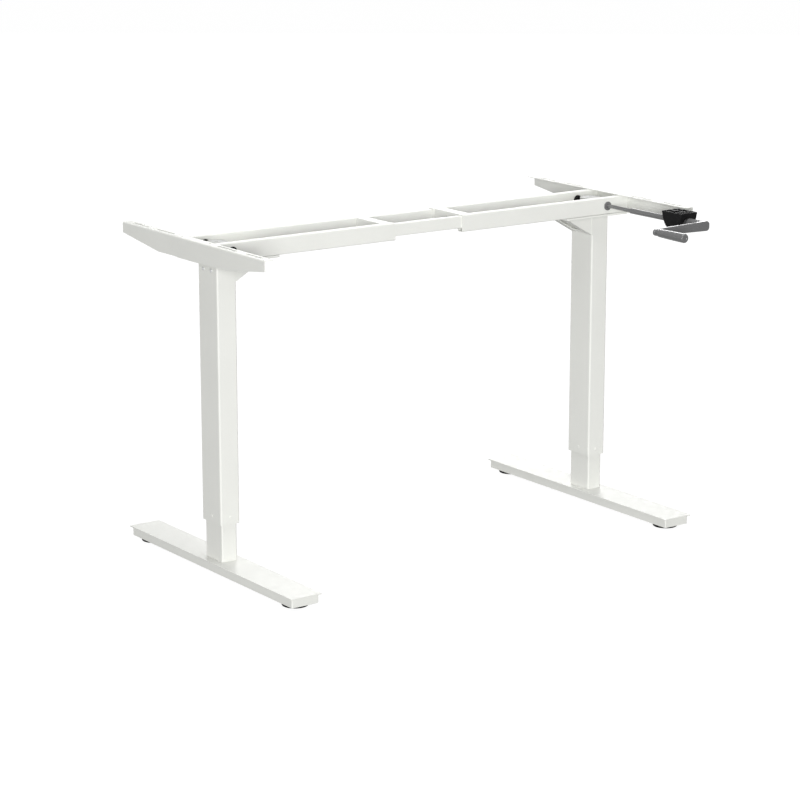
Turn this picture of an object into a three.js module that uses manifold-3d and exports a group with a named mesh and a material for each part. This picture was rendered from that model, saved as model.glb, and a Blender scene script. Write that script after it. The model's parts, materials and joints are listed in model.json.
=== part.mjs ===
// Hand-cranked, height adjustable standing desk frame: two telescoping columns on flat feet, joined by
// telescoping rails, with a crank that turns a lifting spindle in each column through bevel gears.
// Millimetres, +Z up, X along the rails. The crank points to -Y. The floor is Z = 0.

import * as THREE from "three";
import { mergeVertices } from "three/addons/utils/BufferGeometryUtils.js";
import Module from "manifold-3d";

const wasm = await Module();
wasm.setup();

// ---------------------------------------------------------------- driving dimensions

const gap = 0.3; // clearance kept between neighbouring pieces
const frameWidth = 1200; // over the outer faces of the two side brackets
const seatHeight = 769.5; // top of the side brackets, where a tabletop rests
const columnX = 533; // column axes at X = -533 and +533

const foot = { length: 700, width: 80, top: 31, plate: 3, inset: 5, skirtBottom: 8, wall: 2.5 };
const leveler = { y: 304, radius: 30, height: 10, studRadius: 4, bossRadius: 9, bossBottom: 13, socketFloor: 4 };

const outerTube = { x: 50, y: 80, corner: 4, wall: 2, bottom: 119, top: 721.5 };
const innerTube = { x: 40, y: 70, corner: 3.5, wall: 2, top: 600 };
const glideLength = 42;
const dimple = { radius: 3.4, proud: 0.9, height: 135 };

const rail = { front: 66.5, thick: 18, bottom: 727, top: 767, wall: 2, innerEnd: 95 };
const innerRail = { half: 400, bottom: 736, wall: 1.6 };
const bracket = {
  length: 600,
  flange: 24,
  web: 3,
  sheet: 2.2,
  bend: 3,
  midDrop: 45.5,
  endDrop: 24.4,
  knee: 143,
};
const headPlate = { inner: 410, thick: 4.9 };
const gusset = { inner: 425, bottom: 674, wall: 2.5, slot: 36 };
const tie = { near: 98, width: 27, drop: 32.5, wall: 2.5, hole: 9 };
const crankHole = 10; // radius of the round ports in the rails

const driveHeight = 747; // height of the cross shaft and crank axes
const spindle = { radius: 7, bottom: 195, boreRadius: 7.3 };
const gearbox = { outer: 24.5, wall: 2.5, rim: 757.5, coverThick: 2.5 };
const hexRod = 8; // across the flats
const hexTube = { outer: 13, bore: 8.6 };
const crossShaft = { rodEnd: 250, tubeEnd: -250 };

const crank = { rodEnd: -300, tubeStart: -155, hubStart: -363, armBack: -413, armThick: 8, armLength: 148 };
const crankTube = { radius: 6.6, bore: 8.6, boreEnd: -385, hubRadius: 11 };
const grip = { collar: 8, length: 96, backRadius: 9, frontRadius: 10.6, pinRadius: 3.5 };
const holder = { back: -294, depth: 68, width: 52, top: seatHeight, drop: 38.5, boreRadius: 7 };

const crankTip = crank.armBack - crank.armThick - grip.length;
const depthShift = -(crankTip + foot.length / 2) / 2; // centres the whole object on Y = 0

// ---------------------------------------------------------------- looks

const powderWhite = { color: 0xeceded, roughness: 0.45, metalness: 0.0 };
const zincSteel = { color: 0xb9bcc0, roughness: 0.35, metalness: 0.9 };
const darkSteel = { color: 0x55585c, roughness: 0.4, metalness: 0.8 };
const castAluminium = { color: 0xc4c6c8, roughness: 0.5, metalness: 0.8 };
const crankGrey = { color: 0x63656a, roughness: 0.5, metalness: 0.2 };
const blackPlastic = { color: 0x17181a, roughness: 0.6, metalness: 0.0 };
const nylon = { color: 0x2a2b2d, roughness: 0.55, metalness: 0.0 };
const brassNut = { color: 0xb4934c, roughness: 0.35, metalness: 0.9 };

// ---------------------------------------------------------------- solids

function solidOf(geometry) {
  const bare = geometry.clone();
  bare.deleteAttribute("normal");
  bare.deleteAttribute("uv");
  const merged = mergeVertices(bare, 1e-4);
  return new wasm.Manifold(
    new wasm.Mesh({
      numProp: 3,
      vertProperties: new Float32Array(merged.attributes.position.array),
      triVerts: new Uint32Array(merged.index.array),
    }),
  );
}

function geometryOf(solid) {
  const mesh = solid.getMesh();
  const geometry = new THREE.BufferGeometry();
  geometry.setAttribute("position", new THREE.BufferAttribute(mesh.vertProperties, 3));
  geometry.setIndex(new THREE.BufferAttribute(mesh.triVerts, 1));
  geometry.computeVertexNormals();
  return geometry;
}

const axisX = new THREE.Vector3(1, 0, 0);
const axisY = new THREE.Vector3(0, 1, 0);
const axisZ = new THREE.Vector3(0, 0, 1);
const bases = {
  x: new THREE.Matrix4().makeBasis(axisY, axisZ, axisX), // outline in (Y, Z), length along +X
  y: new THREE.Matrix4().makeBasis(axisZ, axisX, axisY), // outline in (Z, X), length along +Y
  z: new THREE.Matrix4(), // outline in (X, Y), length along +Z
};

// A straight prism from `low` to `high` along one axis. An arc is drawn with twice `curveSegments` sides.
function prism(axis, shape, low, high, curveSegments = 2) {
  const geometry = new THREE.ExtrudeGeometry(shape, {
    depth: high - low,
    bevelEnabled: false,
    curveSegments,
  });
  geometry.translate(0, 0, low);
  geometry.applyMatrix4(bases[axis]);
  return solidOf(geometry);
}

function polygon(points) {
  return new THREE.Shape(points.map(([a, b]) => new THREE.Vector2(a, b)));
}

function roundedPath(path, a, b, radius, centreA = 0, centreB = 0) {
  const da = a / 2 - radius;
  const db = b / 2 - radius;
  const quarter = Math.PI / 2;
  path.absarc(centreA + da, centreB + db, radius, 0, quarter, false);
  path.absarc(centreA - da, centreB + db, radius, quarter, 2 * quarter, false);
  path.absarc(centreA - da, centreB - db, radius, 2 * quarter, 3 * quarter, false);
  path.absarc(centreA + da, centreB - db, radius, 3 * quarter, 4 * quarter, false);
  path.closePath();
  return path;
}

function roundedRect(a, b, radius, centreA = 0, centreB = 0) {
  return roundedPath(new THREE.Shape(), a, b, radius, centreA, centreB);
}

function roundedRing(a, b, radius, wall, centreA = 0, centreB = 0) {
  const ring = roundedRect(a, b, radius, centreA, centreB);
  const inner = [a - 2 * wall, b - 2 * wall, Math.max(radius - wall, 0.5), centreA, centreB];
  ring.holes.push(roundedPath(new THREE.Path(), ...inner));
  return ring;
}

function circle(radius, centreA = 0, centreB = 0) {
  const shape = new THREE.Shape();
  shape.absarc(centreA, centreB, radius, 0, 2 * Math.PI, false);
  return shape;
}

function cylinder(axis, radius, low, high, centreA = 0, centreB = 0, sides = 20) {
  return prism(axis, circle(radius, centreA, centreB), low, high, sides / 2);
}

function hexagon(acrossFlats, firstCorner = 0) {
  const corner = acrossFlats / Math.sqrt(3);
  const points = [];
  for (let k = 0; k < 6; k += 1) {
    const angle = firstCorner + (k * Math.PI) / 3;
    points.push([corner * Math.cos(angle), corner * Math.sin(angle)]);
  }
  return polygon(points);
}

// A solid of revolution about Z from a profile of [radius, height] points that starts and ends on the axis,
// or closes on itself.
function turned(profile, segments = 32) {
  const points = profile.map(([radius, height]) => new THREE.Vector2(radius, height));
  const geometry = new THREE.LatheGeometry(points, segments);
  geometry.rotateX(Math.PI / 2);
  return solidOf(geometry);
}

// A straight bevel gear below its apex, axis on Z, apex at the origin. Each tooth is a trapezoid that shrinks
// towards the apex.
function bevelGear({ teeth, pitchAngle, back, face, firstTooth }) {
  const addendum = 0.045;
  const dedendum = 0.07;
  const rootShare = 0.6; // share of one pitch that the foot of a tooth takes
  const tipShare = 0.24;
  const rootRadius = Math.tan(pitchAngle - dedendum);
  const tipRadius = Math.tan(pitchAngle + addendum);
  const pitch = (2 * Math.PI) / teeth;
  const outline = [];
  for (let k = 0; k < teeth; k += 1) {
    const centre = firstTooth + k * pitch;
    outline.push([rootRadius, centre - (rootShare * pitch) / 2]);
    outline.push([tipRadius, centre - (tipShare * pitch) / 2]);
    outline.push([tipRadius, centre + (tipShare * pitch) / 2]);
    outline.push([rootRadius, centre + (rootShare * pitch) / 2]);
  }
  const count = outline.length;
  const positions = [];
  for (const depth of [back, back - face]) {
    for (const [radius, angle] of outline) {
      positions.push(depth * radius * Math.cos(angle), depth * radius * Math.sin(angle), -depth);
    }
  }
  positions.push(0, 0, -back, 0, 0, face - back);
  const indices = [];
  for (let k = 0; k < count; k += 1) {
    const next = (k + 1) % count;
    indices.push(k, next, count + next, k, count + next, count + k);
    indices.push(2 * count, next, k, 2 * count + 1, count + k, count + next);
  }
  const geometry = new THREE.BufferGeometry();
  geometry.setAttribute("position", new THREE.Float32BufferAttribute(positions, 3));
  geometry.setIndex(indices);
  return solidOf(geometry);
}

function node(group, name, solid, look) {
  const mesh = new THREE.Mesh(geometryOf(solid), new THREE.MeshStandardMaterial(look));
  mesh.name = name;
  group.add(mesh);
  return mesh;
}

function groupAt(parent, x, y, z) {
  const group = new THREE.Group();
  group.position.set(x, y, z);
  parent.add(group);
  return group;
}

const desk = new THREE.Group();
desk.position.y = depthShift;

// ---------------------------------------------------------------- feet and lower columns

function footPlate() {
  return prism("z", roundedRect(foot.width, foot.length, 2), foot.top - foot.plate, foot.top);
}

// An upside-down tray under the plate, with two threaded bosses for the levelers.
function footChannel() {
  const width = foot.width - 2 * foot.inset;
  const length = foot.length - 2 * foot.inset;
  const top = foot.top - foot.plate - gap;
  const shell = prism("z", roundedRect(width, length, 3), foot.skirtBottom, top);
  const hollow = roundedRect(width - 2 * foot.wall, length - 2 * foot.wall, 1.5);
  let channel = shell.subtract(prism("z", hollow, foot.skirtBottom - 1, top - foot.wall));
  for (const side of [-1, 1]) {
    const y = side * leveler.y;
    const boss = cylinder("z", leveler.bossRadius, leveler.bossBottom, top - 1, 0, y);
    const thread = cylinder("z", leveler.studRadius + gap, foot.skirtBottom - 1, top + 1, 0, y);
    channel = channel.add(boss).subtract(thread);
  }
  return channel;
}

// A round pad with a socket on top for the foot of its stud.
function levelerPad() {
  const socketRadius = 8 + 2 * gap;
  const edge = 2;
  return turned([
    [0, 0],
    [leveler.radius - edge, 0],
    [leveler.radius, edge],
    [leveler.radius, leveler.height - edge],
    [leveler.radius - edge, leveler.height],
    [socketRadius, leveler.height],
    [socketRadius, leveler.socketFloor],
    [0, leveler.socketFloor],
  ], 36);
}

function levelerStud() {
  const footBottom = leveler.socketFloor + gap;
  const footTop = leveler.height - 1;
  const studTop = foot.top - foot.plate - 1.5;
  const disc = prism("z", hexagon(13), footBottom, footTop);
  return disc.add(cylinder("z", leveler.studRadius, footBottom, studTop));
}

function lowerTube() {
  const section = roundedRing(innerTube.x, innerTube.y, innerTube.corner, innerTube.wall);
  return prism("z", section, foot.top + gap, innerTube.top);
}

// A nylon collar that fills the space between the two column tubes.
function glide(low, high) {
  const outerX = outerTube.x - 2 * (outerTube.wall + gap);
  const outerY = outerTube.y - 2 * (outerTube.wall + gap);
  const thick = (outerX - innerTube.x) / 2 - gap;
  const corner = outerTube.corner - outerTube.wall - gap;
  return prism("z", roundedRing(outerX, outerY, corner, thick), low, high);
}

function spindleNut() {
  const clear = 2 * (innerTube.wall + gap);
  const corner = innerTube.corner - innerTube.wall - gap;
  const block = roundedRect(innerTube.x - clear, innerTube.y - clear, corner);
  const nutHeight = 30;
  const body = prism("z", block, innerTube.top - nutHeight, innerTube.top);
  return body.subtract(cylinder("z", spindle.boreRadius, 0, seatHeight));
}

function buildBase(sideName, side) {
  const base = groupAt(desk, side * columnX, 0, 0);
  node(base, `${sideName}_foot_plate`, footPlate(), powderWhite);
  node(base, `${sideName}_foot_channel`, footChannel(), powderWhite);
  node(base, `${sideName}_inner_tube`, lowerTube(), powderWhite);
  const upperGlide = glide(innerTube.top - glideLength, innerTube.top - 1);
  node(base, `${sideName}_upper_glide`, upperGlide, nylon);
  node(base, `${sideName}_spindle_nut`, spindleNut(), brassNut);
  for (const [endName, end] of [["front", -1], ["back", 1]]) {
    const place = groupAt(base, 0, end * leveler.y, 0);
    node(place, `${sideName}_${endName}_leveler_pad`, levelerPad(), blackPlastic);
    node(place, `${sideName}_${endName}_leveler_stud`, levelerStud(), zincSteel);
  }
}

// ---------------------------------------------------------------- upper columns, brackets and outer rails

function upperTube() {
  const section = roundedRing(outerTube.x, outerTube.y, outerTube.corner, outerTube.wall);
  const pressed = outerTube.wall / 2;
  let tube = prism("z", section, outerTube.bottom, outerTube.top);
  for (const end of [-1, 1]) {
    for (const [axis, reach] of [["x", outerTube.x / 2], ["y", outerTube.y / 2]]) {
      const [low, high] = [reach - pressed, reach + dimple.proud].map((v) => end * v).sort((a, b) => a - b);
      const centre = axis === "x" ? [0, dimple.height] : [dimple.height, 0];
      tube = tube.add(cylinder(axis, dimple.radius, low, high, ...centre, 10));
    }
  }
  return tube;
}

// The plate between the column and the rails, in the frame of the column axis.
function headPlateSolid(side) {
  const inner = side * (headPlate.inner - columnX);
  const outer = side * (frameWidth / 2 - bracket.web - gap - columnX);
  const plate = roundedRect(Math.abs(outer - inner), 2 * rail.front, 2, (inner + outer) / 2);
  const top = rail.bottom - gap;
  const body = prism("z", plate, top - headPlate.thick, top);
  const spindleHole = spindle.radius + 2;
  return body.subtract(cylinder("z", spindleHole, 0, seatHeight));
}

// A folded shoe on the inner face of the column: two cheeks with lips turned in under them, which leave a
// long slot open along the sloping underside.
function gussetSolid(side) {
  const top = rail.bottom - gap - headPlate.thick - gap;
  const nearX = -side * (outerTube.x / 2 + gap);
  const farX = side * (gusset.inner - columnX);
  const half = outerTube.y / 2;
  const slope = (top - gusset.bottom) / (farX - nearX);
  const sheet = gusset.wall;
  const lift = sheet * Math.hypot(1, slope); // height of the sloping sheet, measured straight up
  const outline = [[gusset.bottom, nearX], [top, nearX], [top, farX]];
  const above = 20;
  const hollow = [
    [gusset.bottom + lift, nearX],
    [top + above + lift, nearX],
    [top + above + lift, farX + above / slope],
  ];
  const body = prism("y", polygon(outline), -half, half);
  const inside = prism("y", polygon(hollow), sheet - half, half - sheet);
  const slotStart = nearX - side * 12;
  const [low, high] = [slotStart, farX - side * above].sort((a, b) => a - b);
  const slot = prism("x", roundedRect(gusset.slot, 2 * above + top - gusset.bottom, 1, 0, top), low, high);
  const neck = nearX - side * 6;
  const [neckLow, neckHigh] = [neck, nearX + side * above].sort((a, b) => a - b);
  const columnLip = prism("x", roundedRect(gusset.slot, above + top, 1, 0, top), neckLow, neckHigh);
  return body.subtract(inside).subtract(slot).subtract(columnLip);
}

// An L-shaped side bracket: a web that tapers towards both ends, and a flange with screw slots.
function bracketSolid(side) {
  const half = bracket.length / 2;
  const outer = side * (frameWidth / 2 - columnX);
  const webInner = outer - side * bracket.web;
  const flangeInner = outer - side * bracket.flange;
  const under = seatHeight - bracket.sheet;
  const low = seatHeight - bracket.midDrop;
  const section = new THREE.Shape();
  section.moveTo(seatHeight, flangeInner);
  section.lineTo(seatHeight, outer - side * bracket.bend);
  section.quadraticCurveTo(seatHeight, outer, seatHeight - bracket.bend, outer);
  section.lineTo(low, outer);
  section.lineTo(low, webInner);
  section.lineTo(under, webInner);
  section.lineTo(under, flangeInner);
  section.closePath();
  let body = prism("y", section, -half, half, 3);
  const slotCentre = (webInner + flangeInner) / 2;
  const slotWidth = 7;
  const longSlot = { inner: 90, outer: 172 };
  const shortSlot = { inner: 206, outer: 274 };
  const roundHole = { y: 58, radius: 3.5 };
  const past = 10;
  for (const end of [-1, 1]) {
    const taper = polygon([
      [end * bracket.knee, low],
      [end * half, seatHeight - bracket.endDrop],
      [end * (half + past), seatHeight - bracket.endDrop],
      [end * (half + past), low - past],
      [end * bracket.knee, low - past],
    ]);
    body = body.subtract(prism("x", taper, outer - past, outer + past));
    for (const slot of [longSlot, shortSlot]) {
      const middle = (end * (slot.inner + slot.outer)) / 2;
      const opening = roundedRect(slotWidth, slot.outer - slot.inner, slotWidth / 2, slotCentre, middle);
      body = body.subtract(prism("z", opening, under - past, seatHeight + past, 3));
    }
    const hole = cylinder("z", roundHole.radius, under - 1, seatHeight + 1, slotCentre, end * roundHole.y, 14);
    body = body.subtract(hole);
  }
  return body;
}

// An outer rail, with a round port through both walls at the column for the crank.
function sleeveSolid(side, end) {
  const y = end * (rail.front - rail.thick / 2);
  const height = rail.top - rail.bottom;
  const section = roundedRing(rail.thick, height, 2.5, rail.wall, y, (rail.top + rail.bottom) / 2);
  const outer = side * (frameWidth / 2 - bracket.web - gap - columnX);
  const inner = side * (rail.innerEnd - columnX);
  const [low, high] = [outer, inner].sort((a, b) => a - b);
  const port = cylinder("y", crankHole, y - rail.thick, y + rail.thick, driveHeight, 0);
  return prism("x", section, low, high).subtract(port);
}

// A channel across the frame, open below, that ties the front rail to the back rail.
function tieSolid(side) {
  const half = rail.front - rail.thick - gap;
  const near = side * (tie.near - columnX);
  const far = near + side * tie.width;
  const [low, high] = [near, far].sort((a, b) => a - b);
  const top = rail.top - gap;
  const outline = [
    [top - tie.drop, low],
    [top, low],
    [top, high],
    [top - tie.drop, high],
    [top - tie.drop, high - tie.wall],
    [top - tie.wall, high - tie.wall],
    [top - tie.wall, low + tie.wall],
    [top - tie.drop, low + tie.wall],
  ];
  const shaftHole = cylinder("x", tie.hole, low - 1, high + 1, 0, driveHeight);
  return prism("y", polygon(outline), -half, half).subtract(shaftHole);
}

// A round cup on the head plate. The cross shaft leaves it towards the middle of the desk, and the crank
// rod enters it from the front on the right-hand side.
function gearboxHousing(side) {
  const bottom = rail.bottom + gap;
  const floor = bottom + gearbox.wall;
  const inner = gearbox.outer - gearbox.wall;
  const bore = spindle.boreRadius;
  const cup = turned([
    [bore, bottom],
    [gearbox.outer, bottom],
    [gearbox.outer, gearbox.rim],
    [inner, gearbox.rim],
    [inner, floor],
    [bore, floor],
    [bore, bottom],
  ], 28);
  const shaftRadius = hexTube.outer / Math.sqrt(3) + gap;
  const reach = [0, -side * 2 * gearbox.outer].sort((a, b) => a - b);
  let housing = cup.subtract(cylinder("x", shaftRadius, ...reach, 0, driveHeight));
  if (side > 0) {
    const rodRadius = hexRod / Math.sqrt(3) + gap;
    housing = housing.subtract(cylinder("y", rodRadius, -2 * gearbox.outer, 0, driveHeight, 0));
  }
  return housing;
}

function gearboxCover() {
  const low = gearbox.rim + gap;
  const edge = 1;
  const screwRadius = 3;
  const high = low + gearbox.coverThick;
  return turned([
    [0, low],
    [gearbox.outer, low],
    [gearbox.outer, high - edge],
    [gearbox.outer - edge, high],
    [screwRadius, high],
    [screwRadius - 1, high - edge],
    [0, high - edge],
  ], 28);
}

// A button-headed screw that stands on its base at the origin.
function columnScrew() {
  const radius = 4.2;
  const edge = 1;
  const height = 2.6;
  return turned([[0, 0], [radius, 0], [radius, height - edge], [radius - edge, height], [0, height]], 20);
}

function buildUpper(sideName, side) {
  const frame = groupAt(desk, side * columnX, 0, 0);
  node(frame, `${sideName}_outer_tube`, upperTube(), powderWhite);
  const glideBottom = outerTube.bottom + 1.5;
  node(frame, `${sideName}_lower_glide`, glide(glideBottom, glideBottom + glideLength), nylon);
  node(frame, `${sideName}_head_plate`, headPlateSolid(side), powderWhite);
  node(frame, `${sideName}_gusset`, gussetSolid(side), powderWhite);
  node(frame, `${sideName}_side_bracket`, bracketSolid(side), powderWhite);
  node(frame, `${sideName}_front_sleeve`, sleeveSolid(side, -1), powderWhite);
  node(frame, `${sideName}_back_sleeve`, sleeveSolid(side, 1), powderWhite);
  node(frame, `${sideName}_cross_tie`, tieSolid(side), powderWhite);
  node(frame, `${sideName}_gearbox_housing`, gearboxHousing(side), castAluminium);
  node(frame, `${sideName}_gearbox_cover`, gearboxCover(), castAluminium);
  const screwHeight = 700;
  const screwSpread = 16.4;
  for (const [endName, end] of [["front", -1], ["back", 1]]) {
    const place = groupAt(frame, side * (outerTube.x / 2 + gap), end * screwSpread, screwHeight);
    place.rotation.y = (side * Math.PI) / 2;
    node(place, `${sideName}_${endName}_column_screw`, columnScrew(), zincSteel);
  }
}

// ---------------------------------------------------------------- inner rails

function innerRailSolid(end) {
  const thick = rail.thick - 2 * (rail.wall + gap);
  const top = rail.top - rail.wall - gap;
  const y = end * (rail.front - rail.thick / 2);
  const middle = (top + innerRail.bottom) / 2;
  const section = roundedRing(thick, top - innerRail.bottom, 2, innerRail.wall, y, middle);
  return prism("x", section, -innerRail.half, innerRail.half);
}

// ---------------------------------------------------------------- lifting drive

// A wheel of 24 teeth on each spindle, and pinions of 12 teeth on the crank and the cross shaft.
const wheelTeeth = 24;
const pinionTeeth = 12;
const pitchAngle = Math.atan(wheelTeeth / pinionTeeth);
const wheelBack = 9; // apex to the back of the wheel
const pinionBack = 18;
const faceShare = 0.36; // share of the back distance that the teeth take

function spindleSolid() {
  const top = driveHeight - wheelBack * (1 - faceShare) - 1;
  const point = 2;
  return turned([
    [0, spindle.bottom],
    [spindle.radius - point, spindle.bottom],
    [spindle.radius, spindle.bottom + point],
    [spindle.radius, top],
    [0, top],
  ], 24);
}

function wheelSolid() {
  const wheel = bevelGear({
    teeth: wheelTeeth,
    pitchAngle,
    back: wheelBack,
    face: wheelBack * faceShare,
    firstTooth: 0,
  });
  const hubRadius = 11;
  const hubHeight = 6;
  const hub = cylinder("z", hubRadius, -wheelBack - hubHeight, 1 - wheelBack);
  return wheel.add(hub).subtract(cylinder("z", spindle.boreRadius, -seatHeight, 0));
}

function pinionSolid(bore) {
  const pinion = bevelGear({
    teeth: pinionTeeth,
    pitchAngle: Math.PI / 2 - pitchAngle,
    back: pinionBack,
    face: pinionBack * faceShare,
    firstTooth: Math.PI / pinionTeeth,
  });
  return pinion.subtract(prism("z", hexagon(bore, Math.PI / 2), -2 * pinionBack, 0));
}

function buildDrive() {
  for (const [sideName, side] of [["left", -1], ["right", 1]]) {
    const column = groupAt(desk, side * columnX, 0, 0);
    node(column, `${sideName}_spindle`, spindleSolid(), zincSteel);
    const apex = groupAt(column, 0, 0, driveHeight);
    node(apex, `${sideName}_bevel_wheel`, wheelSolid(), darkSteel);
    const pinion = node(apex, `${sideName}_shaft_pinion`, pinionSolid(hexRod + 2 * gap), darkSteel);
    pinion.rotation.y = (side * Math.PI) / 2;
  }
  const shaftStart = pinionBack * (1 - faceShare);
  const axis = groupAt(desk, 0, 0, driveHeight);
  const rodStart = shaftStart - columnX;
  node(axis, "cross_rod", prism("x", hexagon(hexRod), rodStart, crossShaft.rodEnd), zincSteel);
  const tubeBack = columnX - pinionBack - gap;
  const spigot = prism("x", hexagon(hexRod), tubeBack - 30, columnX - shaftStart);
  const tubeBody = prism("x", hexagon(hexTube.outer), crossShaft.tubeEnd, tubeBack);
  const bore = prism("x", hexagon(hexTube.bore), crossShaft.tubeEnd - 1, tubeBack - 30);
  node(axis, "cross_tube", tubeBody.subtract(bore).add(spigot), zincSteel);
}

// ---------------------------------------------------------------- crank

function railBush() {
  const flangeRadius = 10.8;
  const flangeThick = 2.2;
  const face = -rail.front - gap;
  const rodClear = hexRod / Math.sqrt(3) + gap;
  const flange = cylinder("y", flangeRadius, face - flangeThick, face, 0, 0, 28);
  const spigot = cylinder("y", crankHole - gap, face - 1, -rail.front + rail.thick - 1, 0, 0, 28);
  const bore = cylinder("y", rodClear, face - flangeThick - 1, 0);
  return flange.add(spigot).subtract(bore);
}

function crankTubeSolid() {
  const tube = cylinder("y", crankTube.radius, crank.hubStart - 1, crank.tubeStart);
  const hub = cylinder("y", crankTube.hubRadius, crank.armBack + gap, crank.hubStart, 0, 0, 28);
  const bore = prism("y", hexagon(crankTube.bore), crankTube.boreEnd, crank.tubeStart + 1);
  return tube.add(hub).subtract(bore);
}

// A flat bar that narrows from the hub to the grip, with round ends.
function crankArmSolid() {
  const hubEnd = 11.5;
  const gripEnd = 7.8;
  const lean = Math.asin((hubEnd - gripEnd) / crank.armLength);
  const shape = new THREE.Shape();
  shape.absarc(0, 0, hubEnd, -lean, Math.PI + lean, false);
  shape.absarc(0, -crank.armLength, gripEnd, Math.PI + lean, 2 * Math.PI - lean, false);
  shape.closePath();
  const bar = prism("y", shape, crank.armBack - crank.armThick, crank.armBack, 5);
  const pinHole = cylinder("y", grip.pinRadius + gap, -seatHeight, 0, 0, -crank.armLength);
  return bar.subtract(pinHole);
}

function gripSolid() {
  const back = gap;
  const collarRadius = 7.5;
  const edge = 2;
  const front = grip.length;
  const pinClear = grip.pinRadius + gap;
  const boreEnd = grip.length - 14;
  const body = turned([
    [pinClear, back],
    [collarRadius, back],
    [collarRadius, grip.collar],
    [grip.backRadius, grip.collar],
    [grip.frontRadius, front - 3 * edge],
    [grip.frontRadius - edge, front],
    [0, front],
    [0, boreEnd],
    [pinClear, boreEnd],
    [pinClear, back],
  ], 28);
  return body;
}

function gripPin() {
  const headRadius = 5.5;
  const headThick = 2;
  const pinEnd = grip.length - 16;
  const behind = -crank.armThick - gap;
  return turned([
    [0, behind - headThick],
    [headRadius, behind - headThick],
    [headRadius, behind],
    [grip.pinRadius, behind],
    [grip.pinRadius, pinEnd],
    [0, pinEnd],
  ], 20);
}

// A saddle that carries the crank tube: a flat top with two windows, and a rounded, narrowing underside.
function holderSolid() {
  const middle = holder.back - holder.depth / 2;
  const rim = 8;
  const bottomHalf = 11;
  const outline = new THREE.Shape();
  const low = holder.top - holder.drop;
  outline.moveTo(middle - holder.depth / 2, holder.top);
  outline.lineTo(middle - holder.depth / 2, holder.top - rim);
  outline.quadraticCurveTo(middle - holder.depth / 2 + rim, low + rim, middle - bottomHalf, low);
  outline.lineTo(middle + bottomHalf, low);
  outline.quadraticCurveTo(middle + holder.depth / 2 - rim, low + rim, holder.back, holder.top - rim);
  outline.lineTo(holder.back, holder.top);
  outline.closePath();
  let body = prism("x", outline, -holder.width / 2, holder.width / 2, 6);
  body = body.subtract(cylinder("y", holder.boreRadius, -seatHeight, 0, driveHeight, 0));
  const window = { x: 15, y: 18, depth: 7, spread: 13 };
  for (const side of [-1, 1]) {
    const pocket = roundedRect(window.x, window.y, 2, side * window.spread, middle);
    body = body.subtract(prism("z", pocket, holder.top - window.depth, holder.top + 1));
  }
  return body;
}

function buildCrank() {
  const axis = groupAt(desk, columnX, 0, driveHeight);
  const pinion = node(axis, "crank_pinion", pinionSolid(hexRod + 2 * gap), darkSteel);
  pinion.rotation.x = -Math.PI / 2;
  const rodEnd = -pinionBack * (1 - faceShare);
  node(axis, "crank_rod", prism("y", hexagon(hexRod), crank.rodEnd, rodEnd), crankGrey);
  node(axis, "crank_rail_bush", railBush(), crankGrey);
  node(axis, "crank_tube", crankTubeSolid(), crankGrey);
  node(axis, "crank_arm", crankArmSolid(), crankGrey);
  const gripPlace = groupAt(axis, -crank.armLength, crank.armBack - crank.armThick, 0);
  gripPlace.rotation.x = Math.PI / 2;
  node(gripPlace, "crank_grip", gripSolid(), crankGrey);
  node(gripPlace, "crank_grip_pin", gripPin(), zincSteel);
  const column = groupAt(desk, columnX, 0, 0);
  node(column, "crank_holder", holderSolid(), blackPlastic);
}

// ---------------------------------------------------------------- assembly

for (const [sideName, side] of [["left", -1], ["right", 1]]) {
  buildBase(sideName, side);
  buildUpper(sideName, side);
}
for (const [endName, end] of [["front", -1], ["back", 1]]) {
  node(desk, `${endName}_inner_rail`, innerRailSolid(end), powderWhite);
}
buildDrive();
buildCrank();

export default desk;
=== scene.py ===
"""Looks for a hand-cranked, height adjustable desk frame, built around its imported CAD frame.

Everything is in metres in the CAD frame: +Z up, X along the rails, and the crank points to -Y.
"""

import json
import math

import bmesh
import bpy
from mathutils import Matrix, Vector


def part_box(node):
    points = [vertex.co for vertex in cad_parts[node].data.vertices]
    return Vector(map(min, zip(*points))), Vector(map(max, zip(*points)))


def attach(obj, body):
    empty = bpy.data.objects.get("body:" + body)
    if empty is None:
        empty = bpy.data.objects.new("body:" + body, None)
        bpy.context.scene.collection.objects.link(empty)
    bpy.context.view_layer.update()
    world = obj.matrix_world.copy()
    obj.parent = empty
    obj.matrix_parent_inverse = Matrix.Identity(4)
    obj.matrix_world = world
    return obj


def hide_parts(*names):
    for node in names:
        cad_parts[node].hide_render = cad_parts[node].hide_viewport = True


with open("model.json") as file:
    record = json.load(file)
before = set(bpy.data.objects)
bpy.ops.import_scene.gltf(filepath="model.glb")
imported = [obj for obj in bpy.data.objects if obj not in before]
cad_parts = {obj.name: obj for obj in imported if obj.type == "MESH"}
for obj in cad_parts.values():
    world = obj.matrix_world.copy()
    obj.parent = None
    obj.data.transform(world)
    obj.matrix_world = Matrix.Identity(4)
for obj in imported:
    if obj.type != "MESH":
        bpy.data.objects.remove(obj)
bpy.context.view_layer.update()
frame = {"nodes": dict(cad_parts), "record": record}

MM = 0.001
TURN = 2 * math.pi
SIDES = {"left": -1, "right": 1}
ENDS = {"front": -1, "back": 1}
PLUGGED_PORTS = (("left", "front"), ("left", "back"), ("right", "back"))

# the width of a rounded edge in millimetres, and the widths for nodes whose names end in these words
EDGE = 0.45
SOFTER = {"foot_plate": 0.9, "side_bracket": 0.5, "foot_channel": 0.8, "gearbox_housing": 0.6}

# how bright the floor and the room are to the camera, and how much they light the object
FLOOR_GLOW = {"camera": 0.95, "object": 0.24}
ROOM_GLOW = {"camera": 1.0, "object": 0.30}

nodes = frame["nodes"]
body_of = {
    node: body
    for body, members in frame["record"]["behaviour"]["bodies"].items()
    for node in members
}
slot_of = {part["node"]: part["material_slot"] for part in frame["record"]["subparts"]}
collection = bpy.context.scene.collection


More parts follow.
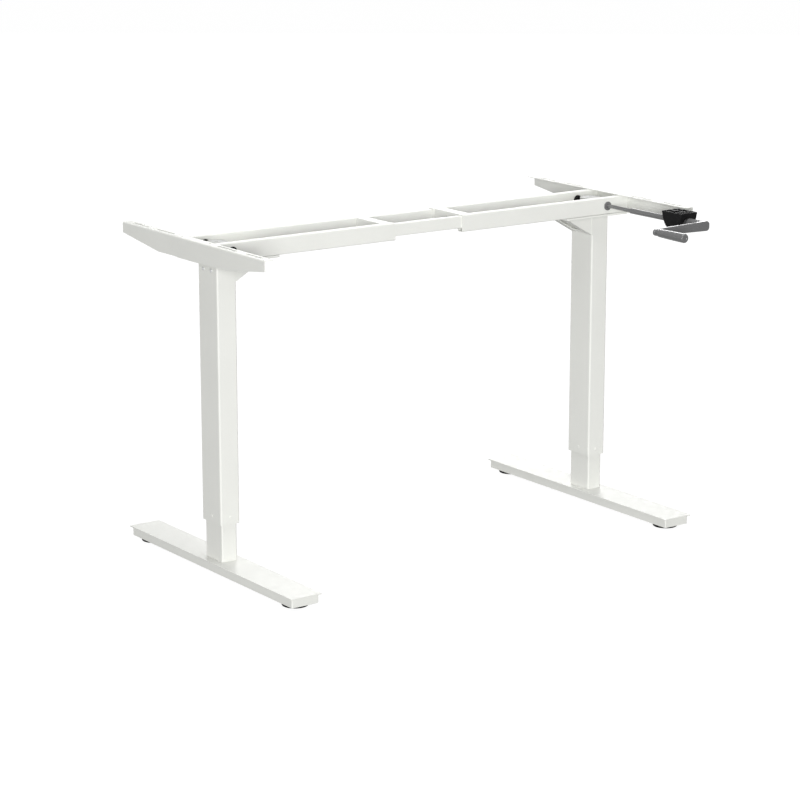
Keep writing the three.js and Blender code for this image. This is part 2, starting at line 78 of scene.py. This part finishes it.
# ---------------------------------------------------------------- materials


class Look:
    """A procedural material: one Principled shader, and the nodes that feed it."""

    def __init__(self, name, **values):
        self.material = bpy.data.materials.new(name)
        self.material.use_nodes = True
        self.tree = self.material.node_tree
        self.shader = self.tree.nodes["Principled BSDF"]
        self.place = self.add("ShaderNodeTexCoord").outputs["Object"]
        for socket, value in values.items():
            self.shader.inputs[socket.replace("_", " ")].default_value = value

    def add(self, kind, **inputs):
        node = self.tree.nodes.new(kind)
        for socket, value in inputs.items():
            target = node.inputs[socket.replace("_", " ")]
            if isinstance(value, bpy.types.NodeSocket):
                self.tree.links.new(value, target)
            else:
                target.default_value = value
        return node

    def stretched(self, scale):
        mapping = self.add("ShaderNodeMapping", Vector=self.place, Scale=scale)
        return mapping.outputs["Vector"]

    def noise(self, scale, detail=2.0, roughness=0.5, place=None):
        """Noise with `scale` features to the metre."""
        node = self.add(
            "ShaderNodeTexNoise",
            Vector=place or self.place,
            Scale=scale,
            Detail=detail,
            Roughness=roughness,
        )
        return node.outputs["Fac"]

    def ramp(self, value, low, high, start=0.3, end=0.7):
        """`low` where the value is below `start`, and `high` where it is above `end`.

        Both are numbers, or both are colours.
        """
        if isinstance(low, (int, float)):
            node = self.add(
                "ShaderNodeMapRange",
                Value=value,
                From_Min=start,
                From_Max=end,
                To_Min=low,
                To_Max=high,
            )
            return node.outputs["Result"]
        node = self.add("ShaderNodeValToRGB", Fac=value)
        first, last = node.color_ramp.elements
        first.position, last.position = start, end
        first.color, last.color = (*low, 1.0), (*high, 1.0)
        return node.outputs["Color"]

    def colour(self, output):
        self.tree.links.new(output, self.shader.inputs["Base Color"])

    def roughness(self, output):
        self.tree.links.new(output, self.shader.inputs["Roughness"])

    def relief(self, *heights):
        """Bumps from (height output, depth in metres) pairs, one after the other."""
        normal = None
        for height, depth in heights:
            bump = self.add("ShaderNodeBump", Height=height, Distance=depth, Strength=1.0)
            if normal is not None:
                self.tree.links.new(normal, bump.inputs["Normal"])
            normal = bump.outputs["Normal"]
        self.tree.links.new(normal, self.shader.inputs["Normal"])


def shade(colour, factor):
    return tuple(channel * factor for channel in colour)


def powder_coat():
    look = Look("powder_white", Specular_IOR_Level=0.42)
    white = (0.800, 0.806, 0.768)
    look.colour(look.ramp(look.noise(9, 4), shade(white, 0.985), shade(white, 1.015)))
    look.roughness(look.ramp(look.noise(60, 3), 0.40, 0.52))
    peel = look.noise(420, 1.5)
    grain = look.noise(2600, 2)
    look.relief((peel, 0.05 * MM), (grain, 0.008 * MM))
    return look.material


def plated(name, colour, rough, metallic=1.0):
    """Bright plated or machined steel, with fine marks along Z and a mottled finish."""
    look = Look(name, Metallic=metallic)
    marks = look.noise(240, 4, 0.6, look.stretched((1, 1, 0.08)))
    look.colour(look.ramp(look.noise(130, 4, 0.7), shade(colour, 0.86), colour))
    look.roughness(look.ramp(marks, rough - 0.08, rough + 0.14))
    look.relief((marks, 0.03 * MM))
    return look.material


def oiled_steel():
    look = Look("dark_steel", Metallic=1.0, Coat_Weight=0.25, Coat_Roughness=0.2)
    look.colour(look.ramp(look.noise(170, 5, 0.7), (0.055, 0.057, 0.060), (0.115, 0.118, 0.122)))
    look.roughness(look.ramp(look.noise(80, 4), 0.30, 0.48))
    look.relief((look.noise(900, 3), 0.03 * MM))
    return look.material


def cast_aluminium():
    look = Look("cast_aluminium", Metallic=0.3)
    look.colour(look.ramp(look.noise(210, 5, 0.7), (0.47, 0.475, 0.465), (0.60, 0.605, 0.59)))
    look.roughness(look.ramp(look.noise(150, 3), 0.46, 0.62))
    look.relief((look.noise(700, 4, 0.6), 0.12 * MM))
    return look.material


def crank_paint():
    look = Look("crank_grey", Specular_IOR_Level=0.5, Coat_Weight=0.9, Coat_Roughness=0.12)
    grey = (0.142, 0.143, 0.144)
    look.colour(look.ramp(look.noise(1400, 2), shade(grey, 0.9), shade(grey, 1.1), 0.35, 0.65))
    look.roughness(look.ramp(look.noise(180, 3), 0.26, 0.36))
    look.relief((look.noise(1100, 2), 0.02 * MM))
    return look.material


def moulded(name, colour, rough, grain):
    """Moulded plastic with a fine spark-eroded grain."""
    look = Look(name, Specular_IOR_Level=0.2)
    look.colour(look.ramp(look.noise(60, 4), shade(colour, 0.8), shade(colour, 1.25)))
    look.roughness(look.ramp(look.noise(240, 3), rough - 0.06, rough + 0.08))
    look.relief((look.noise(grain, 2, 0.6), 0.06 * MM))
    return look.material


LOOKS = {
    "powder_white": powder_coat(),
    "zinc_steel": plated("zinc_steel", (0.80, 0.81, 0.81), 0.36, 0.4),
    "dark_steel": oiled_steel(),
    "cast_aluminium": cast_aluminium(),
    "crank_grey": crank_paint(),
    "black_plastic": moulded("black_plastic", (0.006, 0.006, 0.0065), 0.5, 1500),
    "nylon": moulded("nylon", (0.028, 0.029, 0.031), 0.40, 700),
    "brass_nut": plated("brass_nut", (0.72, 0.53, 0.24), 0.30),
}


# ---------------------------------------------------------------- carried-over CAD nodes


def soften(obj, edge):
    """Rounds an object's sharp edges and shades it smoothly."""
    obj.data.shade_smooth()
    bevel = obj.modifiers.new("edges", "BEVEL")
    bevel.width = edge
    bevel.segments = 3
    bevel.limit_method = "ANGLE"
    bevel.angle_limit = math.radians(36)
    bevel.miter_outer = "MITER_ARC"
    bevel.harden_normals = True
    normals = obj.modifiers.new("normals", "WEIGHTED_NORMAL")
    normals.weight = 60
    normals.keep_sharp = False


def finish_node(node, edge):
    """Rounds a CAD node's sharp edges by `edge` and shades its arcs smoothly."""
    obj = nodes[node]
    obj.data.materials.clear()
    obj.data.materials.append(LOOKS[slot_of[node]])
    obj.data.shade_smooth()
    weld = obj.modifiers.new("weld", "WELD")
    weld.merge_threshold = 0.01 * MM
    flat = obj.modifiers.new("flat", "DECIMATE")
    flat.decimate_type = "DISSOLVE"
    flat.angle_limit = math.radians(0.5)
    soften(obj, edge)


# ---------------------------------------------------------------- meshes


def aligned(origin, axis):
    """The place of a piece whose local +Z points along `axis` from `origin`."""
    up = Vector(axis).normalized()
    side = Vector((0, 0, 1)).cross(up)
    if side.length < 0.1:
        side = Vector((1, 0, 0))
    side.normalize()
    place = Matrix((side, up.cross(side), up)).transposed().to_4x4()
    place.translation = origin
    return place


def piece(name, mesh, place, body, slot, *stands_for, crisp=35):
    """A finished object from a bmesh in local coordinates, put in its place and on its body."""
    mesh.transform(place)
    bmesh.ops.recalc_face_normals(mesh, faces=mesh.faces)
    data = bpy.data.meshes.new(name)
    mesh.to_mesh(data)
    mesh.free()
    data.shade_smooth()
    data.set_sharp_from_angle(angle=math.radians(crisp))
    obj = bpy.data.objects.new(name, data)
    collection.objects.link(obj)
    obj.data.materials.append(LOOKS[slot])
    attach(obj, body)
    if stands_for:
        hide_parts(*stands_for)
    return obj


def stand_in(name, mesh, place, node, **options):
    """A detailed piece in place of one CAD node, on that node's body and with its finish."""
    return piece(name, mesh, place, body_of[node], slot_of[node], node, **options)


def turned(profile, steps=64):
    """A mesh turned about Z from (radius, height) points.

    A radius may be a function of the angle. The profile starts and ends on the axis, or closes on itself.
    """
    mesh = bmesh.new()
    rings = []
    for radius, height in profile:
        if not callable(radius) and radius <= 0:
            rings.append([mesh.verts.new((0, 0, height))])
            continue
        ring = []
        for k in range(steps):
            angle = TURN * k / steps
            reach = radius(angle) if callable(radius) else radius
            ring.append(mesh.verts.new((reach * math.cos(angle), reach * math.sin(angle), height)))
        rings.append(ring)
    pairs = list(zip(rings, rings[1:]))
    if len(rings[0]) > 1:
        pairs.append((rings[-1], rings[0]))
    for low, high in pairs:
        for k in range(steps):
            after = (k + 1) % steps
            loop = [low[k % len(low)], low[after % len(low)], high[after % len(high)], high[k % len(high)]]
            corners = list(dict.fromkeys(loop))
            if len(corners) > 2:
                mesh.faces.new(corners)
    return mesh


def arc(centre_radius, centre_height, radius, start, end, steps=6):
    """Profile points on an arc, from angle `start` to `end` in degrees, 0 outward and 90 up."""
    points = []
    for k in range(steps + 1):
        angle = math.radians(start + (end - start) * k / steps)
        points.append((centre_radius + radius * math.cos(angle), centre_height + radius * math.sin(angle)))
    return points


def hexagonal(across, corner=0.0):
    """The radius of a hexagon `across` its flats, as a function of the angle. One corner is at `corner`."""
    sector = TURN / 6
    return lambda angle: across / 2 / math.cos(((angle - corner) % sector) - sector / 2)


def threaded(radius, depth, phase):
    """The radius of a thread at one height, where `phase` is that height in turns."""
    def reach(angle):
        share = (phase - angle / TURN) % 1.0
        return radius - depth * abs(2 * share - 1)
    return reach


def lofted(sections):
    """A closed mesh through rings of points, with a face at both ends."""
    mesh = bmesh.new()
    rings = [[mesh.verts.new(point) for point in ring] for ring in sections]
    count = len(rings[0])
    for low, high in zip(rings, rings[1:]):
        for k in range(count):
            after = (k + 1) % count
            mesh.faces.new((low[k], low[after], high[after], high[k]))
    mesh.faces.new(rings[0])
    mesh.faces.new(rings[-1][::-1])
    return mesh


def rounded_ring(x0, x1, y0, y1, corner, z, steps):
    """Points around a rectangle between corner centres, with corners of radius `corner`, at height `z`."""
    points = []
    for quarter, (x, y) in enumerate(((x1, y1), (x0, y1), (x0, y0), (x1, y0))):
        for k in range(steps + 1):
            angle = math.radians(90 * quarter + 90 * k / steps)
            points.append((x + corner * math.cos(angle), y + corner * math.sin(angle), z))
    return points


def box_mesh(low, high, corner):
    """A block with rounded upright corners."""
    x0, x1 = low[0] + corner, high[0] - corner
    y0, y1 = low[1] + corner, high[1] - corner
    return lofted([rounded_ring(x0, x1, y0, y1, corner, z, 4) for z in (low[2], high[2])])


def cut_away(obj, cutter, index):
    """Cuts a bmesh solid out of an object, for good."""
    bmesh.ops.recalc_face_normals(cutter, faces=cutter.faces)
    data = bpy.data.meshes.new(f"cutter_{index}")
    cutter.to_mesh(data)
    cutter.free()
    tool = bpy.data.objects.new(f"cutter_{index}", data)
    collection.objects.link(tool)
    cut = obj.modifiers.new("cut", "BOOLEAN")
    cut.operation = "DIFFERENCE"
    cut.solver = "EXACT"
    cut.object = tool
    graph = bpy.context.evaluated_depsgraph_get()
    made = bpy.data.meshes.new_from_object(obj.evaluated_get(graph), depsgraph=graph)
    obj.modifiers.remove(cut)
    bpy.data.objects.remove(tool)
    obj.data = made


# ---------------------------------------------------------------- small pieces


def column_screws():
    """Button heads with a hexagon socket on the outer face of each column."""
    profile = [(0, 0), (4.2 * MM, 0)]
    profile += [(r * MM, z * MM) for r, z in arc(3.7, 0.9, 0.5, 0, 40, 3)]
    profile += [(3.2 * MM, 2.0 * MM), (2.7 * MM, 2.35 * MM), (2.1 * MM, 2.55 * MM), (1.9 * MM, 2.6 * MM)]
    profile += [(hexagonal(2.9 * MM), 2.45 * MM), (hexagonal(2.8 * MM), 1.0 * MM), (0, 0.8 * MM)]
    for side, sign in SIDES.items():
        for end in ENDS:
            node = f"{side}_{end}_column_screw"
            low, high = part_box(node)
            centre = (low + high) / 2
            base = Vector((low.x if sign > 0 else high.x, centre.y, centre.z))
            obj = stand_in(f"{node}_head", turned(profile, 48), aligned(base, (sign, 0, 0)), node)
            soften(obj, 0.1 * MM)


def leveler_pads():
    """Round pads with a ridged rim, a raised ring around the stud, and a shallow groove below."""
    ridges = 40

    def rim(angle):
        return (29.5 + 0.5 * math.cos(ridges * angle)) * MM

    profile = [(0, 0), (24 * MM, 0), (24.5 * MM, 0.5 * MM), (26.5 * MM, 0.5 * MM), (27 * MM, 0)]
    profile += [(28.4 * MM, 0), (29 * MM, 0.5 * MM), (rim, 1.6 * MM), (rim, 6.6 * MM)]
    profile += [(r * MM, z * MM) for r, z in arc(27.4, 6.8, 2.1, 0, 90)]
    profile += [(16 * MM, 9.3 * MM), (14.5 * MM, 10 * MM), (9.6 * MM, 10 * MM), (9.1 * MM, 9.6 * MM)]
    profile += [(8.6 * MM, 4 * MM), (0, 4 * MM)]
    for side in SIDES:
        for end in ENDS:
            node = f"{side}_{end}_leveler_pad"
            low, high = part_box(node)
            centre = (low + high) / 2
            place = aligned((centre.x, centre.y, low.z), (0, 0, 1))
            stand_in(f"{node}_ridged", turned(profile, 240), place, node)


def leveler_studs():
    """Threaded studs with a hexagon at the foot."""
    pitch = 1.25 * MM
    rows_per_turn = 8
    flats = 12.4 * MM
    foot = 4.6 * MM
    for side in SIDES:
        for end in ENDS:
            node = f"{side}_{end}_leveler_stud"
            low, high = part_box(node)
            centre = (low + high) / 2
            length = high.z - low.z
            profile = [(0, 0), (hexagonal(flats), 0), (hexagonal(flats), foot - 0.5 * MM)]
            profile += [(hexagonal(flats - 1.4 * MM), foot), (3.7 * MM, foot), (3.5 * MM, foot + 0.6 * MM)]
            height = foot + 0.8 * MM
            while height < length - 1.2 * MM:
                profile.append((threaded(3.95 * MM, 0.62 * MM, height / pitch), height))
                height += pitch / rows_per_turn
            profile += [(3.1 * MM, length - 0.8 * MM), (2.6 * MM, length), (0, length)]
            place = aligned((centre.x, centre.y, low.z), (0, 0, 1))
            stand_in(f"{node}_threaded", turned(profile, 48), place, node)


def port_plugs():
    """Domed plastic plugs in the three ports that no crank uses."""
    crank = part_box("crank_rail_bush")
    height = (crank[0].z + crank[1].z) / 2
    profile = [(0, 1.1 * MM), (5 * MM, 1.3 * MM), (8.6 * MM, 1.9 * MM), (9.6 * MM, 2.1 * MM)]
    profile += [(r * MM, z * MM) for r, z in arc(10.6, 1.1, 1.0, 90, 0)]
    profile += [(11.6 * MM, 0.05 * MM), (9.5 * MM, 0.05 * MM), (9.5 * MM, -3 * MM), (8.9 * MM, -3.6 * MM)]
    profile += [(8 * MM, -3.4 * MM), (8 * MM, -0.2 * MM), (0, -0.2 * MM)]
    for side, end in PLUGGED_PORTS:
        low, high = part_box(f"{side}_{end}_sleeve")
        column_low, column_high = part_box(f"{side}_outer_tube")
        axis = (column_low.x + column_high.x) / 2
        for face, out in ((low.y, -1), (high.y, 1)):
            where = "outer" if out == ENDS[end] else "inner"
            place = aligned((axis, face + out * 0.1 * MM, height), (0, out, 0))
            piece(f"{side}_{end}_{where}_plug", turned(profile), place, f"{side}_frame", "black_plastic")


def rail_bush():
    """A flanged bush with a hexagonal bore, in the port that the crank passes through."""
    low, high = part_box("crank_rail_bush")
    centre = (low + high) / 2
    length = high.y - low.y
    bore = hexagonal(8.8 * MM, TURN / 4)
    profile = [(bore, 0), (9.4 * MM, 0)]
    profile += [(r * MM, z * MM) for r, z in arc(9.6, 1.2, 1.2, -90, 0)]
    profile += [(10.8 * MM, 2.2 * MM), (9.7 * MM, 2.2 * MM), (9.7 * MM, length - 0.6 * MM)]
    profile += [(9.2 * MM, length), (bore, length)]
    place = aligned((centre.x, low.y, centre.z), (0, 1, 0))
    stand_in("crank_port_bush", turned(profile, 72), place, "crank_rail_bush")


def crank_tube():
    """The tube that slides on the rod, with the hub that holds the arm."""
    low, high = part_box("crank_tube")
    centre = (low + high) / 2
    length = high.y - low.y
    bore = hexagonal(8.7 * MM, TURN / 4)
    bore_end = 28 * MM
    hub = 50 * MM
    profile = [(0, 0), (9.8 * MM, 0)]
    profile += [(r * MM, z * MM) for r, z in arc(10.0, 1.0, 1.0, -90, 0)]
    profile += [(11 * MM, hub - 2.5 * MM)]
    profile += [(r * MM, z * MM + hub) for r, z in arc(9.0, -2.0, 2.0, 0, 90)]
    profile += [(7.4 * MM, hub), (6.6 * MM, hub + 0.8 * MM), (6.6 * MM, length - 0.6 * MM)]
    profile += [(6.1 * MM, length), (bore, length), (bore, bore_end), (0, bore_end)]
    place = aligned((centre.x, low.y, centre.z), (0, 1, 0))
    stand_in("crank_sliding_tube", turned(profile, 72), place, "crank_tube")


def crank_arm():
    """A flat bar that narrows from the hub to the grip, with rounded corners and softened edges."""
    low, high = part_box("crank_arm")
    middle = (low.z + high.z) / 2
    hub_half = (high.z - low.z) / 2
    tip_half = 7.8 * MM
    hub_corner = 8.5 * MM
    soft = 1.3 * MM
    steps = 9

    # (x of the end, outward X, half the height there, corner radius, outward Z, first angle in degrees)
    corners = (
        (high.x, 1, hub_half, hub_corner, 1, 0),
        (low.x, -1, tip_half, tip_half, 1, 90),
        (low.x, -1, tip_half, tip_half, -1, 180),
        (high.x, 1, hub_half, hub_corner, -1, 270),
    )

    def outline(inset):
        points = []
        for x, out, half, radius, up, start in corners:
            centre_x = x - out * radius
            centre_z = middle + up * half - up * radius
            reach = radius - inset
            for k in range(steps + 1):
                angle = math.radians(start + 90 * k / steps)
                points.append((centre_x + reach * math.cos(angle), centre_z + reach * math.sin(angle)))
        return points

    rounding = ((0, soft), (0.15, 0.55 * soft), (0.5, 0.2 * soft), (1, 0))
    sections = []
    for depth, inset in rounding:
        sections.append([(x, low.y + depth * soft, z) for x, z in outline(inset)])
    for depth, inset in reversed(rounding):
        sections.append([(x, high.y - depth * soft, z) for x, z in outline(inset)])
    stand_in("crank_flat_arm", lofted(sections), Matrix.Identity(4), "crank_arm", crisp=50)


def crank_grip():
    """The turning handle: a narrow neck, a collar, a step, and a body that swells to a soft end."""
    low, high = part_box("crank_grip")
    centre = (low + high) / 2
    length = high.y - low.y
    bore = 3.8 * MM
    bore_end = length - 14 * MM
    step = 9.1 * MM
    body = length - 14.1 * MM
    back_radius = 9.0
    swell = 1.6
    rows = 15
    profile = [(0, bore_end), (bore, bore_end), (bore, 0), (6.0 * MM, 0), (6.0 * MM, 1.6 * MM)]
    profile += [(r * MM, z * MM) for r, z in arc(6.6, 2.6, 1.0, -90, 0)]
    profile += [(7.6 * MM, 5.4 * MM), (6.5 * MM, 5.7 * MM), (6.5 * MM, 7.6 * MM), (8.3 * MM, 7.9 * MM)]
    profile += [(r * MM, z * MM) for r, z in arc(8.0, 9.1, 1.0, -45, 0, 3)]
    for k in range(1, rows + 1):
        share = k / rows
        radius = back_radius + swell * math.sin(share * TURN / 4)
        profile.append((radius * MM, step + share * body))
    profile += [(r * MM, z * MM + length) for r, z in arc(7.2, -3.4, 3.4, 0, 80, 8)]
    profile += [(5.2 * MM, length - 0.1 * MM), (4.4 * MM, length - 0.9 * MM), (0, length - 1.2 * MM)]
    place = aligned((centre.x, high.y, centre.z), (0, -1, 0))
    stand_in("crank_handle_grip", turned(profile, 72), place, "crank_grip")


def grip_pin():
    """The pin that the grip turns on, with a domed head behind the arm."""
    low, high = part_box("crank_grip_pin")
    centre = (low + high) / 2
    length = high.y - low.y
    profile = [(0, 0)] + [(r * MM, z * MM) for r, z in arc(3.7, 1.8, 1.8, -90, 0)]
    profile += [(5.5 * MM, 2 * MM), (3.5 * MM, 2 * MM), (3.5 * MM, length - 0.5 * MM)]
    profile += [(3 * MM, length), (0, length)]
    place = aligned((centre.x, high.y, centre.z), (0, -1, 0))
    stand_in("crank_grip_rivet", turned(profile), place, "crank_grip_pin")


def gearbox_covers():
    """Cast covers with a raised rim, and a raised boss with a dimple in the middle."""
    for side in SIDES:
        node = f"{side}_gearbox_cover"
        low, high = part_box(node)
        centre = (low + high) / 2
        thick = high.z - low.z
        rim = (high.x - low.x) / 2
        profile = [(0, 0), (rim, 0), (rim, thick - 0.9 * MM), (rim - 0.3 * MM, thick - 0.3 * MM)]
        profile += [(rim - 0.9 * MM, thick - 0.05 * MM), (rim - 3 * MM, thick - 0.05 * MM)]
        profile += [(rim - 3.6 * MM, thick - 0.6 * MM), (11 * MM, thick - 0.6 * MM), (10.4 * MM, thick)]
        profile += [(4 * MM, thick), (3 * MM, thick - 0.9 * MM), (0, thick - 0.9 * MM)]
        place = aligned((centre.x, centre.y, low.z), (0, 0, 1))
        stand_in(f"{node}_cast", turned(profile, 96), place, node)


def gusset_welds():
    """Ground weld beads that fill the corner between each gusset's cheeks and its column."""
    corner = 4 * MM       # the radius of the column's corner
    sunk = 0.3 * MM       # how far a bead reaches into the column
    overlap = 1.2 * MM    # how far it runs past the column's face
    steps = 6
    for side, sign in SIDES.items():
        column_low, column_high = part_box(f"{side}_outer_tube")
        low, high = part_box(f"{side}_gusset")
        face = column_low.x if sign > 0 else column_high.x
        centre_x = face + sign * corner
        for end, out in ENDS.items():
            edge = column_low.y if out < 0 else column_high.y
            flush = edge - out * 0.05 * MM
            centre_y = edge - out * corner
            reach = corner - sunk
            ring = [(face - sign * overlap, flush), (centre_x, flush)]
            for k in range(steps + 1):
                angle = math.radians(90 - 90 * k / steps)
                x = centre_x - sign * reach * math.cos(angle)
                ring.append((x, centre_y + out * reach * math.sin(angle)))
            ring.append((face - sign * overlap, centre_y))
            bead = lofted([[(x, y, z) for x, y in ring] for z in (low.z + 0.6 * MM, high.z)])
            name = f"{side}_{end}_gusset_weld"
            piece(name, bead, Matrix.Identity(4), body_of[f"{side}_gusset"], "powder_white")


def crank_holder():
    """A black saddle: six trays and a rim on top, sloping ends, and an arch below that clears the rod."""
    low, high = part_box("crank_holder")
    rod_low, rod_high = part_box("crank_rod")
    axis_x = (rod_low.x + rod_high.x) / 2
    axis_z = (rod_low.z + rod_high.z) / 2
    middle_y = (low.y + high.y) / 2
    length = high.y - low.y
    half = (high.x - low.x) / 2
    corner = 3.0 * MM

    # the outer shape from the bottom up: (height share, end inset share, side inset share)
    levels = (
        (0.0, 0.25, 0.17),
        (0.03, 0.215, 0.11),
        (0.12, 0.165, 0.07),
        (0.28, 0.11, 0.045),
        (0.48, 0.06, 0.025),
        (0.68, 0.025, 0.01),
        (0.84, 0.015, 0.005),
        (0.87, 0.0, 0.0),
        (0.97, 0.0, 0.0),
        (1.0, 0.008, 0.008),
    )

    def ring(share, end_inset, side_inset):
        reach_x = half * (1 - side_inset) - corner
        reach_y = length * (0.5 - end_inset) - corner
        z = low.z + share * (high.z - low.z)
        x0, x1 = axis_x - reach_x, axis_x + reach_x
        y0, y1 = middle_y - reach_y, middle_y + reach_y
        return rounded_ring(x0, x1, y0, y1, corner, z, 5)

    shell = lofted([ring(*level) for level in levels])
    obj = stand_in("crank_saddle", shell, Matrix.Identity(4), "crank_holder", crisp=40)

    arch_radius = 12.6 * MM
    arch_steps = 24
    beyond = 5 * MM
    arch = [(axis_x - arch_radius, low.z - beyond)]
    for k in range(arch_steps + 1):
        angle = math.pi - math.pi * k / arch_steps
        arch.append((axis_x + arch_radius * math.cos(angle), axis_z + arch_radius * math.sin(angle)))
    arch.append((axis_x + arch_radius, low.z - beyond))
    cutters = [lofted([[(x, y, z) for x, z in arch] for y in (low.y - beyond, high.y + beyond)])]

    tray_depth = 5.5 * MM
    tray_corner = 1.6 * MM
    wall = 2.6 * MM
    # where each tray starts and ends, as shares of the length
    trays = ((0.06, 0.30), (0.35, 0.66), (0.71, 0.94))
    for sign in (-1, 1):
        for start, end in trays:
            x0, x1 = sorted((axis_x + sign * wall / 2, axis_x + sign * (half - wall)))
            near = (x0, low.y + start * length, high.z - tray_depth)
            far = (x1, low.y + end * length, high.z + 2 * MM)
            cutters.append(box_mesh(near, far, tray_corner))
    for index, cutter in enumerate(cutters):
        cut_away(obj, cutter, index)
    soften(obj, EDGE * MM)


# ---------------------------------------------------------------- assembly

column_screws()
leveler_pads()
leveler_studs()
port_plugs()
rail_bush()
crank_tube()
crank_arm()
crank_grip()
grip_pin()
gearbox_covers()
gusset_welds()
crank_holder()

for node, obj in nodes.items():
    if not obj.hide_render:
        edge = next((size for part, size in SOFTER.items() if node.endswith(part)), EDGE)
        finish_node(node, edge * MM)


# ---------------------------------------------------------------- studio


def floor():
    """A wide pale floor that glows a little, so that it stays white under the desk."""
    half = 40.0
    height = -0.2 * MM
    corners = ((-half, -half), (half, -half), (half, half), (-half, half))
    mesh = bmesh.new()
    mesh.faces.new([mesh.verts.new((x, y, height)) for x, y in corners])
    data = bpy.data.meshes.new("studio_floor")
    mesh.to_mesh(data)
    mesh.free()
    obj = bpy.data.objects.new("studio_floor", data)
    collection.objects.link(obj)
    look = Look("studio_floor", Roughness=0.9, Specular_IOR_Level=0.1)
    look.shader.inputs["Base Color"].default_value = (0.12, 0.12, 0.12, 1)
    look.shader.inputs["Emission Color"].default_value = (1, 1, 1, 1)
    seen = look.add("ShaderNodeLightPath").outputs["Is Camera Ray"]
    glow = look.ramp(seen, FLOOR_GLOW["object"], FLOOR_GLOW["camera"], 0, 1)
    look.tree.links.new(glow, look.shader.inputs["Emission Strength"])
    obj.data.materials.append(look.material)


def soft_light(name, power, size, origin, target, mirrored=True):
    """A round softbox at `origin`. One that isn't `mirrored` leaves no shine on the object."""
    light = bpy.data.lights.new(name, "AREA")
    light.shape = "DISK"
    light.size = size
    light.energy = power
    obj = bpy.data.objects.new(name, light)
    obj.location = origin
    obj.visible_glossy = mirrored
    obj.rotation_mode = "QUATERNION"
    obj.rotation_quaternion = (Vector(target) - Vector(origin)).to_track_quat("-Z", "Y")
    collection.objects.link(obj)


def white_room():
    """The room is white to the camera, and an even dim glow to the object."""
    world = bpy.data.worlds.new("studio")
    world.use_nodes = True
    tree = world.node_tree
    background = tree.nodes["Background"]
    seen = tree.nodes.new("ShaderNodeBackground")
    path = tree.nodes.new("ShaderNodeLightPath")
    mix = tree.nodes.new("ShaderNodeMixShader")
    background.inputs["Color"].default_value = (1, 1, 1, 1)
    background.inputs["Strength"].default_value = ROOM_GLOW["object"]
    seen.inputs["Color"].default_value = (1, 1, 1, 1)
    seen.inputs["Strength"].default_value = ROOM_GLOW["camera"]
    tree.links.new(path.outputs["Is Camera Ray"], mix.inputs["Fac"])
    tree.links.new(background.outputs["Background"], mix.inputs[1])
    tree.links.new(seen.outputs["Background"], mix.inputs[2])
    tree.links.new(mix.outputs["Shader"], tree.nodes["World Output"].inputs["Surface"])
    bpy.context.scene.world = world


def camera():
    """A long lens from the front left, above the desk."""
    below_level = 13.584
    to_the_right = 35.412
    data = bpy.data.cameras.new("camera")
    data.sensor_width = 36
    data.lens = 118.07
    obj = bpy.data.objects.new("camera", data)
    obj.location = (-3.5154, -4.8106, 1.7814)
    obj.rotation_euler = (math.radians(90 - below_level), 0, math.radians(-to_the_right))
    collection.objects.link(obj)
    bpy.context.scene.camera = obj


floor()
soft_light("key", 1110, 4.0, (-7.0, -9.25, 2.3), (0, 0, 0.45))
soft_light("back", 520, 4.0, (7.0, 9.25, 2.6), (0, 0, 0.45), mirrored=False)
soft_light("rim", 200, 4.0, (5.6, 7.4, 2.4), (0, 0, 0.6))
soft_light("overhead", 60, 2.6, (0, -0.2, 3.6), (0, 0, 0.6))
white_room()
camera()
bpy.context.scene.view_settings.view_transform = "Standard"
